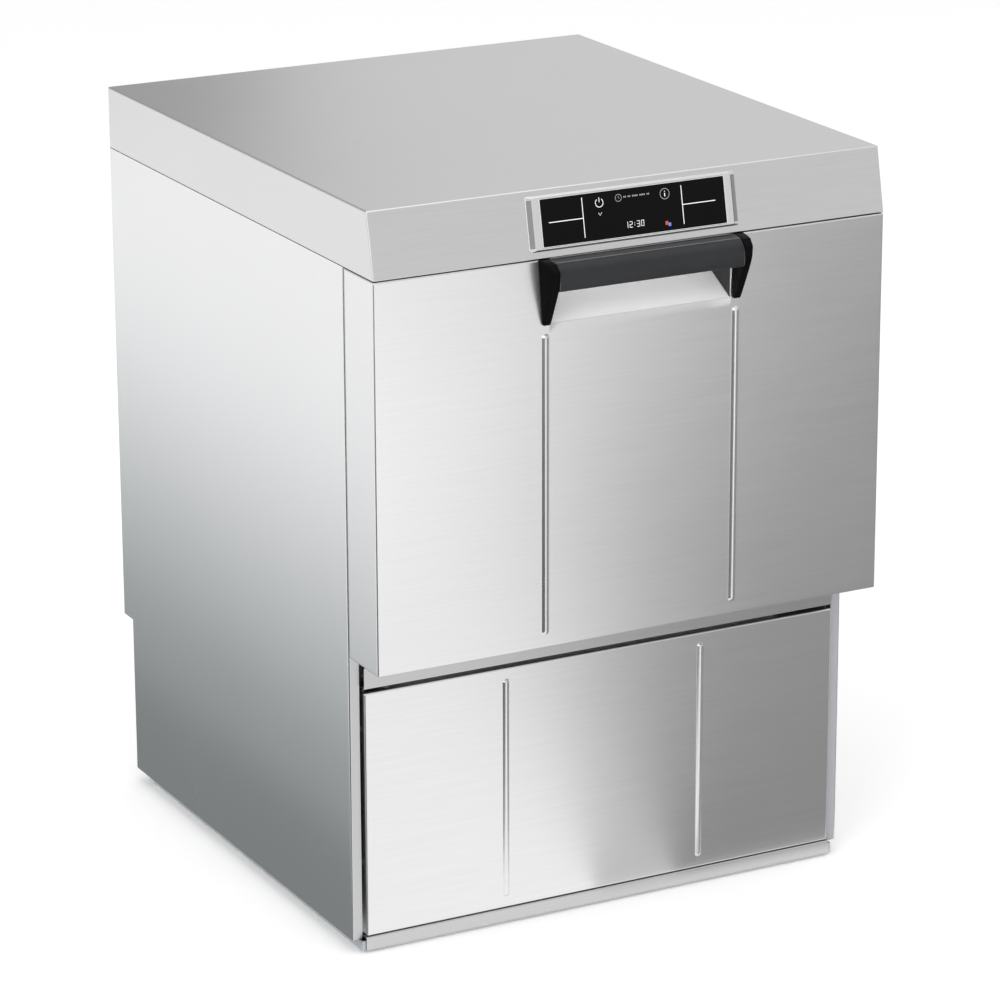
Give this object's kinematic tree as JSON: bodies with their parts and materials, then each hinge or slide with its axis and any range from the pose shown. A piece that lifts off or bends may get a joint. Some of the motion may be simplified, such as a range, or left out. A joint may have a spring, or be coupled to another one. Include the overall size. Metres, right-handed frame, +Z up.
{
  "type": "commercial dishwasher",
  "caption": "Under-counter commercial dishwasher with a drop-down door, sloping touch fascia, grip bar, wash chamber with spray arms, and a service space below.",
  "frame": {"origin": "centre of the overall footprint on the floor", "axes": "+Z up, the door faces -Y, +X to the right of a person facing the door"},
  "size_m": [0.6, 0.693, 0.82],
  "materials": {
    "brushed_steel": "fine horizontal grain",
    "satin_steel": "smooth satin",
    "chamber_steel": "bright polished sheet",
    "galvanised": "zinc coated",
    "black_plastic": "fine texture, semi matt",
    "bar_grey": "dark satin coating",
    "display_glass": "black touch glass",
    "white_plastic": "moulded",
    "grey_plastic": "moulded",
    "rubber": "soft extrusion",
    "foam": "closed cell",
    "brass": "machined",
    "spring_steel": "bright wire",
    "motor_paint": "dark paint",
    "copper": "drawn tube"
  },
  "bodies": {
    "chassis": {"side_panel_left": "satin_steel", "side_panel_right": "satin_steel", "rear_panel": "satin_steel", "top_cover": "brushed_steel", "display_glass": "display_glass", "control_module": "grey_plastic", "base_tray": "galvanised", "lower_front_panel": "brushed_steel", "panel_screws": "spring_steel", "front_plinth": "satin_steel", "front_crossmember": "satin_steel", "frame_posts": "galvanised", "chamber_side_left": "chamber_steel", "chamber_side_right": "chamber_steel", "chamber_rear": "chamber_steel", "chamber_ceiling": "chamber_steel", "wash_tank": "chamber_steel", "tank_filters": "chamber_steel", "pump_strainer": "chamber_steel", "rack_rails": "chamber_steel", "spray_posts": "chamber_steel", "arm_knobs": "black_plastic", "pump_housing": "grey_plastic", "pump_motor": "motor_paint", "suction_elbow": "rubber", "wash_pipework": "grey_plastic", "rinse_pipe": "copper", "boiler_shell": "chamber_steel", "boiler_heater": "brass", "tank_heater": "spring_steel", "drain_pump": "grey_plastic", "drain_hoses": "grey_plastic", "inlet_valve": "brass", "cable_gland": "black_plastic", "dosing_pumps": "white_plastic", "electrical_box": "galvanised", "hinge_brackets": "galvanised", "door_springs": "spring_steel", "door_gasket": "rubber", "door_switch": "white_plastic"},
    "door": {"door_outer_panel": "brushed_steel", "door_inner_panel": "chamber_steel", "handle_pocket": "satin_steel", "handle_bar": "bar_grey", "handle_cap_right": "black_plastic", "handle_cap_left": "black_plastic", "hinge_arms": "galvanised", "hinge_bushes": "brass", "door_insulation": "foam", "door_magnet": "black_plastic"},
    "lower_wash_arm": {"lower_wash_arm": "chamber_steel"},
    "lower_rinse_arm": {"lower_rinse_arm": "chamber_steel"},
    "upper_wash_arm": {"upper_wash_arm": "chamber_steel"},
    "upper_rinse_arm": {"upper_rinse_arm": "chamber_steel"},
    "overflow_pipe": {"overflow_pipe": "grey_plastic"},
    "pump_impeller": {"pump_impeller": "chamber_steel"},
    "foot_front_left": {"foot_front_left": "black_plastic"},
    "foot_front_right": {"foot_front_right": "black_plastic"},
    "foot_rear_left": {"foot_rear_left": "black_plastic"},
    "foot_rear_right": {"foot_rear_right": "black_plastic"}
  },
  "joints": [
    {"name": "door_hinge", "type": "hinge", "parent": "chassis", "child": "door", "pos_m": [0, -0.2735, 0.342], "axis": [1, 0, 0], "range_deg": [0, 90], "stiffness_Nm_per_rad": 8, "springref_deg": -14.32, "deforming": ["door_springs"]},
    {"name": "lower_wash_spin", "type": "hinge", "parent": "chassis", "child": "lower_wash_arm", "pos_m": [0, 0.0235, 0.335], "axis": [0, 0, 1], "continuous": true},
    {"name": "lower_rinse_spin", "type": "hinge", "parent": "chassis", "child": "lower_rinse_arm", "pos_m": [0, 0.0235, 0.351], "axis": [0, 0, 1], "continuous": true},
    {"name": "upper_wash_spin", "type": "hinge", "parent": "chassis", "child": "upper_wash_arm", "pos_m": [0, 0.0235, 0.724], "axis": [0, 0, 1], "continuous": true},
    {"name": "upper_rinse_spin", "type": "hinge", "parent": "chassis", "child": "upper_rinse_arm", "pos_m": [0, 0.0235, 0.708], "axis": [0, 0, 1], "continuous": true},
    {"name": "overflow_lift", "type": "slide", "parent": "chassis", "child": "overflow_pipe", "axis": [0, 0, 1], "range_m": [0, 0.1]},
    {"name": "pump_spin", "type": "hinge", "parent": "chassis", "child": "pump_impeller", "pos_m": [0, 0.0235, 0.1], "axis": [1, 0, 0], "continuous": true},
    {"name": "foot_front_left_screw", "type": "slide", "parent": "chassis", "child": "foot_front_left", "axis": [0, 0, -1], "range_m": [0, 0.025]},
    {"name": "foot_front_right_screw", "type": "slide", "parent": "chassis", "child": "foot_front_right", "axis": [0, 0, -1], "range_m": [0, 0.025]},
    {"name": "foot_rear_left_screw", "type": "slide", "parent": "chassis", "child": "foot_rear_left", "axis": [0, 0, -1], "range_m": [0, 0.025]},
    {"name": "foot_rear_right_screw", "type": "slide", "parent": "chassis", "child": "foot_rear_right", "axis": [0, 0, -1], "range_m": [0, 0.025]}
  ]
}
